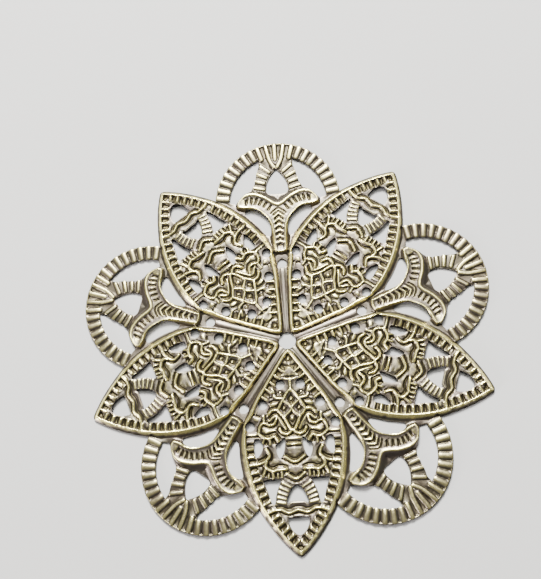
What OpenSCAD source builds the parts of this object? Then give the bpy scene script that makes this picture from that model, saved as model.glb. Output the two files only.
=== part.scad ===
// Filigree flower stamping: one pressed and pierced sheet of antiqued brass.
// Five pointed petals stand proud of five ribbed round lobes; the back is hollow under what is raised.
// The flower lies flat on Z = 0, its middle on the Z axis, one petal pointing along -Y.

/* [Overall] */
// Distance from the middle of the flower to the outside of a round lobe
lobe_reach = 31.4; // [25:0.1:40]

/* [Sheet] */
// Thickness of the pressed sheet
sheet_t = 0.4; // [0.3:0.05:0.6]
// Width of the sloping wall around each raised part, measured at its foot
wall_w = 0.45; // [0.35:0.05:0.6]

/* [Relief] */
// Height of the rims and scrolls above the sheet they are pressed in
ridge_h = 0.4; // [0.2:0.05:0.6]
// Height of the small ribs of the petals and leaves
rib_h = 0.2; // [0.1:0.05:0.3]
// Height of the ribs of the round lobes
ring_rib_h = 0.3; // [0.1:0.05:0.4]
// Width of the scroll ridges at their foot
ridge_w = 0.46; // [0.3:0.02:0.6]
// Width of the small ribs
rib_w = 0.4; // [0.25:0.05:0.5]

/* [Piercings] */
// Radius of the hole in the middle
centre_hole_r = 1.28; // [0.8:0.02:1.4]
// Radius of the five holes at the ends of the spokes
spoke_hole_r = 0.73; // [0.5:0.01:0.75]
// Radius of the six round holes of each petal
bead_hole_r = 0.73; // [0.5:0.01:0.75]
// Distance from the middle of the flower to the spoke holes
spoke_hole_out = 11.93; // [11.8:0.01:12.1]

/* [Hidden] */

// The pattern is drawn for a lobe reach of 31.4 and scaled to the one asked for.
drawn_reach = 31.4;
size = lobe_reach / drawn_reach;
fold = 5;
step = 360 / fold;
// Sides of a drawn round outline, and of a true bore
arc_sides = 96;
bore_sides = 64;
// Land kept between a relief edge and the edge of the sheet below it
land = 0.06;
// Petals and leaves are pressed up by one thickness of the sheet.
raised_top = 2 * sheet_t;
hub_r = 3;
bore_margin = 1;

// Every table below has two columns: distance from the axis of the petal or lobe, distance out
// from the middle of the flower. Only the right half is listed.

// Petal: its side is straight beside the spoke, rounds the shoulder and then follows one arc
petal_side = [[0, 0.43], [4.17, 6.24], [5.59, 8.55], [6.25, 10.1], [6.75, 11.05], [7.2, 12.1], [7.6, 13.3]];
petal_arc_r = 21.95;
petal_arc_middle = [-14.1, 14.5];
petal_tip_angle = 50;
petal_arc_steps = 10;
petal_tip_round = 0.6;

// Gaps cut on the petal's own axis
arch_gap = [[0, 20.85], [0.95, 21.6], [1.58, 23.15], [1.3, 23.45], [1, 23.25], [0, 23.25]];
tip_gap = [[0, 25.35], [1.45, 25.4], [1.55, 25.95], [1.15, 27.05], [0, 27.9]];
// Gaps cut on both sides of the petal's axis
star_gap = [[1.3, 14.35], [1.65, 14.4], [2.6, 15.1], [2.6, 15.9], [2.3, 17.1], [2, 17.05], [1.5, 16.1]];
side_gap = [[4.9, 14.25], [5.65, 14.3], [5.8, 15.2], [5.7, 16.6], [5.3, 16.75], [4.75, 16.05], [4.55, 15.1]];
wedge_gap = [[2.15, 20.1], [4.65, 20.1], [4.15, 21.8], [3.6, 23.5], [3.3, 23.5], [2.9, 21.8]];
bead_holes = [[1.46, 6.48], [4.19, 9.34], [6.2, 12.35]];

// Ridges of the petal that cross its axis
band_ridge = [[0, 24.45], [1.25, 24.8], [2.4, 24.3], [3.3, 24.35], [4.6, 24.75]];
upper_chevron = [[0, 17.7], [1.4, 16.85]];
lower_chevron = [[0, 20.2], [1.25, 19.5]];
moustache = [[0, 13.2], [0.6, 13.65], [1.2, 13.8], [1.7, 13.6], [2.05, 13.1]];
// Ridges on both sides of the petal's axis
wing_ridge = [[1.1, 18.4], [2, 18.65], [3.1, 18.7], [3.9, 18.35], [4.3, 17.65], [3.85, 17],
              [3.5, 16.45], [3.6, 15.9], [3.9, 15.2], [3.7, 14.3]];
yoke_ridge = [[2.4, 14.6], [2.7, 14], [3.7, 14.2], [4.6, 13.75], [4.95, 13.25], [4.8, 12.6], [4.2, 11.8],
              [3.95, 11.2], [3.5, 10.7], [2.9, 10.3], [2, 10.2]];
scroll_ridge = [[4.2, 11.8], [3.8, 12.25], [3.1, 12.4], [2.5, 12], [2.25, 11.4]];
ledge_ridge = [[4.9, 13.45], [5.6, 13.6], [6.9, 13.6]];
lattice_ridges = [[[0, 7.3], [1.25, 8.85], [2, 10.2], [1.15, 11.2], [0, 13.2]],
                  [[1.25, 8.85], [0, 10.05], [1.15, 11.2]]];
wing_teeth = [[[2, 18.8], [1.95, 19.65]], [[3.1, 18.8], [3.15, 19.6]], [[4.25, 18.4], [4.65, 19.5]],
              [[3.45, 14.3], [3.5, 15]]];
// Straight bars across the petal's axis: half length, distance out
cross_bars = [[0.9, 14.4], [0.9, 15.3]];

// Ticks inside the petal's rim, set by angle about the middle of the rim's arc
tick_first = 3.1;
tick_pitch = 3.2;
ticks = 13;
tick_in_r = 19.9;
tick_out_r = 21.35;
// Ticks along the straight root, set by distance out along the spoke
root_tick_first = 4.3;
root_tick_pitch = 1.19;
root_ticks = 5;
root_tick_in = 1.75;
root_tick_out = 0.9;
// Bars across the two legs of the petal's pointed arch: place of the first, step to the next
leg_bar_first = [1.62, 21.4];
leg_bar_step = [0.3, 0.72];
leg_bars = 3;
leg_bar_turn = -25;
leg_bar_len = 0.95;

// Lobe: a round ring about its own middle, with radial ribs on it
lobe_middle_out = 21.75;
lobe_r = drawn_reach - lobe_middle_out;
ring_in_r = 7.5;
ring_rib_pitch = 8.2;
ring_ribs = 9;
ring_rib_w = 0.45;
ring_rib_in_r = 7.62;
crown_rib_in_r = 7.35;
crown_side_rib = [[1.5, 31], [1.25, 29.6], [0.85, 28.5], [0.4, 27.65]];
// Bars across the two legs of the lobe's pointed arch
lobe_bars = [[[1.15, 26.75], [2.25, 27.65]], [[1.6, 25.9], [2.85, 26.5]],
             [[2.05, 24.95], [3.2, 25.4]], [[2.05, 23.9], [3.35, 24.3]]];

// Gaps cut on the lobe's own axis, then on both sides of it
oval_gap = [[0, 27.2], [1, 26.1], [1.6, 24.9], [1.72, 24], [1.5, 23.3], [0.9, 23.05], [0, 23.1]];
lower_gap = [[1.4, 16.5], [1.38, 18], [1.75, 19.15], [2.6, 20.1], [3.7, 20.65], [4.7, 20.75], [5.15, 20.3],
             [3.3, 18.15], [1.85, 16.35]];
// Upper gap: the inner side is listed, the outer side is the ring's own edge between two angles
upper_gap_in = [[6.55, 21.85], [5.2, 23.15], [4.2, 23.8], [3.6, 24.6], [3.1, 26.5], [2.6, 27.6]];
upper_gap_angles = [69, 4];
upper_gap_steps = 7;

// Leaf raised on the lobe, with a stem that runs inward to the spoke hole
leaf = [[0, 21.65], [2, 23.05], [3.1, 23.45], [4.1, 23.45], [4.9, 23.05], [6.2, 21.75], [6.05, 21.2],
        [5.5, 20.95], [4.3, 20.9], [3.4, 20.7], [2.4, 20.1], [1.6, 19.2], [1.24, 18], [1.15, 14.6],
        [0.8, 13.45], [0, 13.1]];
// Flat web between two petals that carries the leaf's stem
stem_web = [[0, 0], [-3, 18], [3, 18]];
leaf_spine = [[1.8, 21.15], [2.5, 21.65], [3.3, 21.95], [4.25, 22.1], [5.2, 21.85]];
leaf_rib_len = 1.7;
leaf_rib_w = 0.3;
leaf_rim_w = 0.5;
stem_chevron_first = 15.05;
stem_chevron_pitch = 1.02;
stem_chevrons = 6;
stem_chevron_drop = 0.45;
stem_chevron_half = 0.65;

// Rim bead: width, and distance in from the foot of the wall
rim_w = 0.55;
rim_edge = 0.2;

function half_to_whole(half) =
    concat(half, [for (i = [len(half) - 1:-1:0]) if (half[i].x > 0) [-half[i].x, half[i].y]]);
function across(half) = concat([for (i = [len(half) - 1:-1:1]) [-half[i].x, half[i].y]], half);
function about(middle, r, a) = middle + r * [cos(a), sin(a)];
function unit(v) = v / norm(v);
function beside(line, i, w) =
    let (ahead = line[min(i + 1, len(line) - 1)], behind = line[max(i - 1, 0)], way = unit(ahead - behind))
    line[i] + w * [-way.y, way.x];

// A line of even width through the listed points
module stroke(line, w)
    polygon(concat([for (i = [0:len(line) - 1]) beside(line, i, w / 2)],
                   [for (i = [len(line) - 1:-1:0]) beside(line, i, -w / 2)]));

module both_sides() {
    children();
    mirror([1, 0]) children();
}

module around_flower() for (i = [0:fold - 1]) rotate(step * i) children();
module each_petal() around_flower() rotate(180) children();
module each_lobe() around_flower() rotate(180 - step / 2) children();

// Outlines of the sheet

module petal_outline() {
    arc = [for (i = [0:petal_arc_steps])
        about(petal_arc_middle, petal_arc_r, petal_tip_angle * i / petal_arc_steps)];
    offset(r = petal_tip_round, $fn = 24) offset(delta = -petal_tip_round)
        polygon(half_to_whole(concat(petal_side, arc)));
}

module leaf_outline() polygon(half_to_whole(leaf));

module raised_outline() {
    each_petal() petal_outline();
    each_lobe() leaf_outline();
}

module flower_outline() {
    circle(hub_r);
    each_petal() petal_outline();
    each_lobe() {
        translate([0, lobe_middle_out]) circle(lobe_r, $fn = arc_sides);
        polygon(stem_web);
    }
}

// Gaps, all but the true round holes

module petal_gaps() {
    polygon(half_to_whole(arch_gap));
    polygon(half_to_whole(tip_gap));
    both_sides() for (gap = [star_gap, side_gap, wedge_gap]) polygon(gap);
}

module lobe_gaps() {
    ring_side = [for (i = [0:upper_gap_steps])
        let (a = upper_gap_angles[0] + (upper_gap_angles[1] - upper_gap_angles[0]) * i / upper_gap_steps)
        about([0, lobe_middle_out], ring_in_r, a)];
    polygon(half_to_whole(oval_gap));
    both_sides() {
        polygon(lower_gap);
        polygon(concat(upper_gap_in, ring_side));
    }
}

module gaps() {
    each_petal() petal_gaps();
    each_lobe() lobe_gaps();
}

// Relief, drawn flat

module rim(w) {
    difference() {
        offset(delta = -rim_edge) children();
        offset(delta = -rim_edge - w) children();
    }
}

module petal_ridges() {
    rim(rim_w) petal_outline();
    for (line = [band_ridge, upper_chevron, lower_chevron, moustache]) stroke(across(line), ridge_w);
    for (bar = cross_bars) stroke([[-bar[0], bar[1]], [bar[0], bar[1]]], rib_w);
    both_sides() {
        for (line = [wing_ridge, yoke_ridge, scroll_ridge, ledge_ridge]) stroke(line, ridge_w);
        for (line = lattice_ridges) stroke(line, ridge_w);
    }
}

module petal_ribs() {
    both_sides() {
        for (i = [0:ticks - 1]) {
            a = tick_first + tick_pitch * i;
            stroke([about(petal_arc_middle, tick_in_r, a), about(petal_arc_middle, tick_out_r, a)], rib_w);
        }
        rotate(-step / 2) for (i = [0:root_ticks - 1]) {
            out = root_tick_first + root_tick_pitch * i;
            stroke([[-root_tick_in, out], [-root_tick_out, out]], rib_w);
        }
        for (tooth = wing_teeth) stroke(tooth, rib_w);
        for (i = [0:leg_bars - 1]) translate(leg_bar_first + leg_bar_step * i) rotate(leg_bar_turn)
            square([leg_bar_len, rib_w], center = true);
    }
}

module leaf_ribs() {
    last = len(leaf_spine) - 1;
    both_sides() for (i = [0:last])
        stroke([beside(leaf_spine, i, leaf_rib_len / 2), beside(leaf_spine, i, -leaf_rib_len / 2)], leaf_rib_w);
    for (i = [0:stem_chevrons - 1]) {
        out = stem_chevron_first + stem_chevron_pitch * i;
        stroke(across([[0, out], [stem_chevron_half, out - stem_chevron_drop]]), leaf_rib_w);
    }
}

module ring_rib_set() {
    translate([0, lobe_middle_out]) {
        translate([-ring_rib_w / 2, crown_rib_in_r]) square([ring_rib_w, lobe_r - land - crown_rib_in_r]);
        for (i = [2:ring_ribs], side = [-1, 1]) rotate(side * ring_rib_pitch * i)
            translate([-ring_rib_w / 2, ring_rib_in_r]) square([ring_rib_w, lobe_r - land - ring_rib_in_r]);
    }
    both_sides() {
        stroke(crown_side_rib, ring_rib_w);
        for (bar = lobe_bars) stroke(bar, ring_rib_w);
    }
}

module on_sheet() {
    difference() {
        intersection() {
            children(0);
            offset(delta = -land) children(1);
        }
        offset(delta = land) gaps();
    }
}

// Layers of the flower, from the back up. An offset of nothing joins a layer's outlines into one.

// The hollow stops at a collar that keeps the wall of the middle hole whole.
module hollow() difference() {
    offset(delta = -wall_w) raised_outline();
    circle(centre_hole_r + wall_w, $fn = arc_sides);
}

module back_layer() offset(delta = 0) difference() {
    flower_outline();
    hollow();
    gaps();
}

module raised_layer() offset(delta = 0) difference() {
    raised_outline();
    gaps();
}

module ridge_layer() on_sheet() {
    union() {
        each_petal() petal_ridges();
        each_lobe() rim(leaf_rim_w) leaf_outline();
    }
    raised_outline();
}

module rib_layer() on_sheet() {
    union() {
        each_petal() petal_ribs();
        each_lobe() leaf_ribs();
    }
    offset(delta = -rim_edge - rim_w / 2) raised_outline();
}

module ring_rib_layer() difference() {
    on_sheet() {
        each_lobe() ring_rib_set();
        flower_outline();
    }
    offset(delta = land) raised_outline();
}

module slab(from, to) translate([0, 0, from]) linear_extrude(to - from) children();

module true_holes() {
    depth = raised_top + ridge_h + 2 * bore_margin;
    translate([0, 0, -bore_margin]) {
        cylinder(depth, r = centre_hole_r, $fn = bore_sides);
        each_lobe() translate([0, spoke_hole_out]) cylinder(depth, r = spoke_hole_r, $fn = bore_sides);
        each_petal() for (side = [-1, 1], hole = bead_holes)
            translate([side * hole.x, hole.y]) cylinder(depth, r = bead_hole_r, $fn = bore_sides);
    }
}

module stamping() color("darkkhaki") scale(size) difference() {
    union() {
        slab(0, sheet_t) back_layer();
        slab(sheet_t, raised_top) raised_layer();
        slab(raised_top, raised_top + ridge_h) ridge_layer();
        slab(raised_top, raised_top + rib_h) rib_layer();
        slab(sheet_t, sheet_t + ring_rib_h) ring_rib_layer();
    }
    true_holes();
}

stamping();
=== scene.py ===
"""Filigree flower stamping: one pressed and pierced sheet of antiqued brass, lying flat on a pale floor.

The sheet is made as its dies make it. Half a sector, from the middle of a petal to the middle of a
lobe, is cut out flat, pressed to the heights that the chart below gives, given its thickness,
mirrored and turned five times about the middle.
"""
import math
from contextlib import contextmanager

import bpy
import numpy as np
from mathutils import Euler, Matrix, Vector
from mathutils.geometry import delaunay_2d_cdt


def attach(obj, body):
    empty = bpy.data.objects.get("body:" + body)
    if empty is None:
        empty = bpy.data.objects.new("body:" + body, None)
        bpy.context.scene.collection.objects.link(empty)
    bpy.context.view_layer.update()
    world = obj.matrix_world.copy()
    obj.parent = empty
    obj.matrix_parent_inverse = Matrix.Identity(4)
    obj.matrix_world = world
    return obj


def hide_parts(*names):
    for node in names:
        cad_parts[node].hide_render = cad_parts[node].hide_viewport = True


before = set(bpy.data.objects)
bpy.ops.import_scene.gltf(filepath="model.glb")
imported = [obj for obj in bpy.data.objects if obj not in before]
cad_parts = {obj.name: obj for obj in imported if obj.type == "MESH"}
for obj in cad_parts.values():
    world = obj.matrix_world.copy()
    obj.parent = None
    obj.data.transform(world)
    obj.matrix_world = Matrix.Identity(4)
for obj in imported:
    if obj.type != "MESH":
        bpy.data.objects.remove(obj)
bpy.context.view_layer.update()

bl_info = {
    "name": "Filigree flower stamping",
    "version": (1, 0, 0),
    "blender": (4, 5, 0),
    "location": "3D View > Sidebar > Flower",
    "description": "A pressed and pierced five-petal flower of antiqued brass on a pale floor",
    "category": "Add Mesh",
}

MM = 0.001
FOLD = 5
TURN = math.tau / FOLD
HALF_TURN = TURN / 2

# The chart, in millimetres. A petal point is (side, out) from the petal's axis, a lobe point
# (side, out) from the lobe's axis, and only the half between the two axes is listed.

REACH = 31.4
LOBE_MIDDLE_OUT = 21.75
LOBE_R = REACH - LOBE_MIDDLE_OUT
RING_IN_R = 7.5
CENTRE_HOLE_R = 1.28
HUB_LAND = 0.7
SPOKE_HOLE_OUT = 11.93
# The spoke between two petals widens outwards, as far as the lobe's own sheet
SPOKE_WIDENING = 1 / 6
SPOKE_END = 18
SMALL_HOLE_R = 0.73
RIM_MIDDLE = (-14.1, 14.5)
FOOT_R = 21.95
CREST_R = 21.28
FOOT_LAST_ANGLE = 50
CREST_ANGLES = (-1, 47.5)
CREST_TIP = (0, 30.32)

# Heights of the pressed top face, and the thinnest sheet that may be asked for
SHEET_TOP = 0.40
LEAST_SHEET = 0.1
PLATE = 0.86
CREST = 1.11
RIM_CREST = 1.155
RIM_HALF_W = 0.3
RIM_POWER = 2.6
LEAF_FLOOR = 0.93
LEAF_CREST = 1.07
RING_RIB_CREST = 0.64

# Tables of strokes: half width, level, then the lines that share them. On the petal the grooves are
# pressed in before the ridges rise.
PETAL_GROOVES = (
    # Over and under the band that crosses the tip
    (0.2, 0.76, [(0, 24.93), (0.6, 25), (1.2, 25.14), (1.9, 25), (2.5, 24.72), (3.3, 24.7), (3.95, 25)]),
    (0.16, 0.77, [(0, 23.93), (0.6, 24), (1.25, 24.28), (1.9, 24.1), (2.5, 23.86), (3.3, 23.88),
     (3.9, 24.1)]),
    # Between the bars on the legs of the pointed arch
    (0.16, 0.68, [(0.75, 21.05), (1.3, 20.8), (1.95, 20.35)]),
    (0.13, 0.77, [(1.07, 21.55), (2.18, 20.95)], [(1.36, 22.1), (2.48, 21.6)],
     [(1.56, 22.66), (2.68, 22.25)], [(1.71, 23.2), (2.82, 22.92)]),
    # Under the wing and down beside its tail
    (0.19, 0.67, [(1.05, 18.55), (1.4, 18.25), (2.1, 18.08), (2.7, 18.2), (3.15, 18.4), (3.6, 18.3),
     (3.95, 17.95), (3.85, 17.6), (3.5, 17.3), (3.32, 16.9), (3.32, 16.5), (3.5, 16.1), (3.85, 15.65)]),
    # Outside the tail, and outside the last tooth
    (0.22, 0.68, [(4.05, 16.65), (4.5, 17.02), (5.25, 17.3)]),
    (0.15, 0.69, [(5.15, 18), (4.75, 18.2), (4.58, 18.5), (4.75, 18.95), (4.95, 19.3)]),
    # Between the wing's teeth
    (0.17, 0.7, [(1.2, 19), (1.5, 19.35)]),
    (0.19, 0.67, [(2.28, 19.1), (2.3, 19.65)]),
    (0.18, 0.67, [(2.86, 19.15), (2.86, 19.65)]),
    (0.17, 0.66, [(3.6, 19.1), (3.62, 19.65)]),
    (0.17, 0.67, [(4, 19), (4.25, 19.45)]),
    # Above and below the two chevrons, and between the bars under them
    (0.13, 0.71, [(0, 18.18), (0.5, 18), (1.1, 17.65), (1.85, 17.2)]),
    (0.15, 0.68, [(0, 17.32), (0.6, 17.05), (1.25, 16.58)]),
    (0.12, 0.72, [(0, 20.62), (0.5, 20.48), (1, 20.15), (1.5, 19.8)]),
    (0.15, 0.68, [(0, 19.76), (0.5, 19.48), (1, 19.12)]),
    (0.1, 0.76, [(0, 15.55), (0.95, 15.55)]),
    (0.13, 0.69, [(0, 14.86), (0.95, 14.86)]),
    # Over the moustache and round its end, and under it
    (0.13, 0.7, [(0, 13.85), (0.4, 13.97), (1, 14.12), (1.5, 13.98), (1.95, 13.6), (2.2, 13.1),
     (2.1, 12.75), (1.8, 12.66)]),
    (0.28, 0.68, [(0, 13.78), (0, 13.85)]),
    (0.2, 0.67, [(0.85, 13.36), (1.3, 13.22), (1.72, 12.9)]),
    # Between the yoke's teeth, and the trench under the yoke
    (0.26, 0.67, [(2.78, 14.85), (2.95, 14.5)]),
    (0.28, 0.66, [(3.92, 14.7), (4, 14.95)]),
    (0.2, 0.67, [(2, 14.3), (2.35, 13.72), (2.7, 13.45), (3.3, 13.62), (3.9, 13.84), (4.4, 13.62),
     (4.8, 13.3)]),
    (0.14, 0.7, [(4.85, 14), (5.4, 13.9), (6.7, 13.86)]),
    # Long moat beside the vee, and the one round the hook
    (0.22, 0.68, [(0.85, 13), (1.2, 12.3), (1.6, 11.6), (2, 10.97), (2.4, 10.74), (2.85, 10.9),
     (3.3, 11.35)]),
    (0.15, 0.7, [(2.1, 11.5), (2.2, 12.05), (2.6, 12.58), (3.2, 12.78), (3.9, 12.58), (4.35, 12.45),
     (4.6, 12.75), (4.65, 13.1)]),
    # Under the hook, and beside the third hole
    (0.16, 0.67, [(2.38, 11.4), (2.7, 11.85), (3.2, 12.08), (3.6, 11.92), (3.85, 11.4), (3.92, 10.95)]),
    (0.14, 0.7, [(4.38, 11.55), (4.75, 12.1), (5, 12.7), (5.15, 13.1)]),
    (0.13, 0.72, [(5.5, 10.75), (5.1, 10.85), (4.65, 11.1)]),
    # Beside the second hole
    (0.14, 0.68, [(1.75, 9.15), (2.1, 9.75), (2.8, 9.9), (3.2, 10.1), (3.5, 10.5)]),
    (0.16, 0.71, [(1.8, 8.95), (2.4, 8.87), (3.1, 9.13)]),
    (0.11, 0.72, [(2.75, 8.1), (2.85, 8.4), (3.2, 8.5)]),
    # Inside the vee's point
    (0.13, 0.68, [(0.02, 12.8), (0.35, 12.25), (0.72, 11.55)]),
    # Over the first hole
    (0.15, 0.69, [(1.1, 7.75), (1.25, 8.2), (1.75, 8.3), (2.05, 8), (2.2, 7.5), (2.4, 7.1)]),
    # Above and below the four-pointed star
    (0.13, 0.7, [(0, 5.58), (0.35, 5.5), (0.8, 5.62)]),
    (0.14, 0.69, [(0, 3.93), (0.5, 3.88), (1, 3.62)]),
)
PETAL_RIDGES = (
    # Band, and the low lines between it and the pointed arch
    (0.22, CREST, [(0, 24.42), (0.6, 24.58), (1.25, 24.8), (1.8, 24.62), (2.4, 24.3), (3.3, 24.33),
     (3.9, 24.55), (4.6, 24.9)]),
    (0.15, 0.9, [(0, 23.45), (0.9, 23.45), (1.3, 23.75)]),
    (0.2, 0.93, [(2.9, 23.6), (3.5, 23.55), (4.1, 23.75)]),
    # Wing, its tail and the arm that leaves the tail
    (0.23, CREST, [(1.25, 18.7), (2, 18.76), (2.7, 18.78), (3.2, 18.93), (3.7, 18.72), (4.1, 18.45),
     (4.27, 18), (4.1, 17.5)]),
    (0.2, CREST, [(5.5, 17.85), (4.9, 17.72), (4.4, 17.52), (3.95, 17.2), (3.66, 16.85), (3.65, 16.45),
     (3.85, 16), (4.1, 15.65)]),
    # Teeth of the wing, and the low ones between them
    (0.17, 1.04, [(1.98, 18.8), (1.98, 19.75)], [(3.25, 18.95), (3.25, 19.9)]),
    (0.18, 1.04, [(4.22, 18.4), (4.72, 19.55)]),
    (0.1, 0.95, [(2.58, 19.35), (2.58, 19.95)], [(3.92, 19.5), (3.95, 19.9)]),
    # Yoke, its teeth, the hook under it with its stem, and the ridge over the second hole
    (0.21, CREST, [(2.15, 14.78), (2.55, 14.2), (2.9, 14.02), (3.5, 14.3), (4.1, 14.18), (4.6, 13.85),
     (5.05, 13.45)]),
    (0.15, 1.04, [(3.42, 14.3), (3.42, 15.1)]),
    (0.15, 1.02, [(4.15, 14.15), (4.5, 14.85)]),
    (0.18, CREST, [(2.3, 11.45), (2.5, 11.95), (2.85, 12.3), (3.35, 12.36), (3.8, 12.12), (4.2, 12.02),
     (4.6, 12.25), (4.85, 12.7), (4.95, 13.2), (5.05, 13.45)]),
    (0.19, 1, [(4.2, 12.02), (4.13, 11.5), (4.17, 11)]),
    (0.19, CREST, [(2.05, 10.25), (2.6, 10.2), (3.1, 10.42), (3.55, 10.9)]),
    # Inner edge of the long moat
    (0.14, 0.98, [(0.98, 13), (1.5, 12.1), (2, 11.33), (2.4, 11.08), (2.85, 11.3), (3.2, 11.65),
     (3.5, 11.75)]),
    (0.22, 1, [(4.9, 13.42), (5.6, 13.6), (7, 13.55)]),
    # Moustache, vee and lattice
    (0.19, CREST, [(0, 13.2), (0.5, 13.6), (1, 13.77), (1.5, 13.6), (1.83, 13.2), (1.93, 12.95)],
     [(2.05, 10.25), (1.6, 10.8), (1.15, 11.35), (0.78, 12.15), (0.35, 13), (0, 13.25)],
     [(0, 7.35), (1.22, 8.87), (2.05, 10.25)]),
    (0.18, 1.06, [(1.22, 8.87), (0, 10.05), (1.2, 11.3)]),
    (0.22, 1.05, [(0, 5.8), (0, 7.6)]),
    (0.15, 0.96, [(0, 5.95), (0.45, 5.8), (0.9, 5.72)]),
    # Chevrons, and the bars under them
    (0.19, CREST, [(0, 17.75), (1.45, 16.92)], [(0, 20.12), (1.3, 19.35)]),
    (0.14, 0.95, [(0, 14.42), (0.95, 14.42)]),
    (0.15, 1.05, [(0, 15.2), (0.95, 15.2)]),
    # Bars on the legs of the pointed arch
    (0.24, 0.98, [(0.9, 21.27), (2, 20.62)], [(1.24, 21.83), (2.36, 21.27)], [(1.47, 22.38), (2.6, 21.93)],
     [(1.64, 22.93), (2.76, 22.58)], [(1.78, 23.47), (2.88, 23.25)]),
    # Land between the first hole and the rim, and beside the second
    (0.2, 0.98, [(2.45, 7.75), (2.7, 7.15)]),
    (0.2, 1, [(1.35, 8.62), (2.15, 8.5), (2.5, 8.2)]),
)
# Tables of pads: outline, level
PETAL_PADS = (
    ([(0, 4.1), (0.55, 4.12), (0.62, 4.75), (1.4, 5.35), (0.85, 5.38), (0.45, 5.2), (0, 5.3)], 0.93),
    ([(0, 15.85), (0.95, 15.85), (0.85, 16.4), (0.4, 16.75), (0, 16.95)], 0.9),
    ([(2.3, 17.45), (2.7, 17.2), (3, 17.15), (3.35, 17.55), (3.45, 17.8), (3, 17.88), (2.4, 17.7)], 0.9),
    ([(2.5, 13.1), (3.2, 13.3), (3.9, 13.48), (4.4, 13.2), (4.3, 12.9), (3.8, 12.97), (3.1, 13.07)], 0.92),
    ([(1.4, 12.7), (1.75, 12), (1.95, 11.6), (2, 12.1), (2.1, 12.5), (1.75, 12.55)], 0.9),
    ([(2.08, 9.3), (2.5, 9.6), (3.02, 9.68), (3.15, 9.42), (2.6, 9.2)], 0.95),
    ([(4.85, 11.25), (5.6, 11.15), (5.6, 11.5), (5.05, 11.7)], 0.93),
    ([(0, 18.35), (1, 18.55), (0.9, 19.1), (0.35, 19.2), (0, 19.35)], 0.9),
    ([(0, 28.3), (0.45, 28.3), (0.55, 28.9), (0, 29.2)], 0.9),
)
# Middle, half width and half length, and level of a lozenge pit; radius and level of the dot in it
LOZENGES = (
    ((0, 8.72), (0.72, 0.9), 0.7, 0.24, 1),
    ((1.1, 10.06), (0.62, 0.75), 0.7, 0.22, 0.98),
    ((0, 11.55), (0.85, 1.3), 0.7, 0.45, 0.96),
    ((0, 2.78), (0.75, 0.85), 0.7, 0.26, 1.04),
    ((1.52, 7.75), (0.5, 0.5), 0.74, 0.2, 0.95),
)
# Round pits beside the rim along the petal's straight root
ROOT_PITS = ((1.08, 3.78), (1.76, 4.74), (2.42, 5.74), (3.12, 6.7), (3.84, 7.65), (4.62, 8.68))
# From the rim towards the petal's axis, and how far the slots and the ribs between them run that way
ROOT_INWARD = (-0.82, 0.57)
ROOT_SLOT_REACH = (0.1, 0.66)
ROOT_SLOT_HALF_W = 0.45
ROOT_RIB_REACH = (-0.1, 0.95)
ROOT_RIB_HALF_W = 0.15
ROOT_COMB = [(0.75, 2.6), (3.1, 6.1), (4.5, 8.1), (5.6, 10.3), (5.3, 10.75), (4.9, 9.9), (3.7, 8.1),
             (2.4, 6.3), (1, 4.2), (0.4, 3.2)]
TIP_PIT = (0, 29.62)
TIP_PIT_HALF_W = 0.3
TIP_PIT_BED = 0.8
# The petal's foot draws in towards the tip, from one angle to another, and the tip is blunt
FOOT_DRAW_IN = 0.22
FOOT_DRAW_ANGLES = (20, 34)
TIP_TURN = 0.5
TIP_POINTS = ((0.3, 30.74), (0, 30.8))

RIM_ROOT = [(0, 1.72), (0.45, 1.97), (0.85, 2.5), (1.75, 3.85), (2.5, 4.93), (3.17, 5.88), (3.8, 6.88),
            (4.58, 7.98), (5.3, 9.17), (5.7, 10.05), (6.15, 10.87), (6.68, 11.6), (7, 12.35), (7.12, 13.1)]
FOOT_ROOT = [(0, 1.1), (0.7, 1.7), (1.2, 2.25), (2.1, 3.6), (2.85, 4.7), (3.5, 5.65), (4.15, 6.65),
             (4.93, 7.75), (5.65, 8.95), (6.1, 9.85), (6.55, 10.65), (7.05, 11.35), (7.45, 12.25),
             (7.65, 13.3)]

TICK_FIRST = 1.5
TICK_PITCH = 3.2
TICKS = 15
COMB_REACH = (19.75, 21.28)
COMB_ANGLES = (0, 50)
COMB_TOP = 0.91
SLOT_REACH = (20.05, 20.68)
SLOT_HALF_W = 0.31
SLOT_BED = 0.73
COMB_RIB_REACH = (20.1, 21.1)
COMB_RIB_HALF_W = 0.2
COMB_RIB_CREST = 1.06

# Gaps on the petal: those on its axis are closed across it
PETAL_GAPS = (
    [(0, 20.85), (0.5, 21.1), (0.95, 21.65), (1.25, 22.3), (1.5, 22.85), (1.6, 23.2), (1.35, 23.5),
     (1, 23.25), (0, 23.25)],
    [(0, 25.35), (1.4, 25.4), (1.48, 25.95), (1.36, 26.5), (1.1, 27.05), (0.68, 27.55), (0, 27.9)],
    [(2.2, 20.1), (4.65, 20.1), (4.45, 20.9), (4.15, 21.8), (3.95, 22.5), (3.7, 23.3), (3.4, 23.6),
     (3.15, 23.2), (3.05, 22.5), (2.85, 21.8), (2.5, 20.9)],
    [(4.85, 14.3), (5.2, 14.15), (5.7, 14.3), (5.8, 14.8), (5.8, 15.5), (5.75, 16.4), (5.6, 16.8),
     (5.3, 16.8), (5.1, 16.6), (4.8, 16.2), (4.55, 15.6), (4.5, 15)],
    [(1.25, 14.3), (1.6, 14.3), (2, 14.75), (2.6, 15.1), (2.65, 15.7), (2.55, 16.3), (2.35, 16.9),
     (2.2, 17.15), (1.95, 17.05), (1.65, 16.6), (1.45, 16), (1.3, 15.2)],
)
PETAL_HOLES = ((1.46, 6.48), (4.19, 9.34), (6.2, 12.35))
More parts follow.
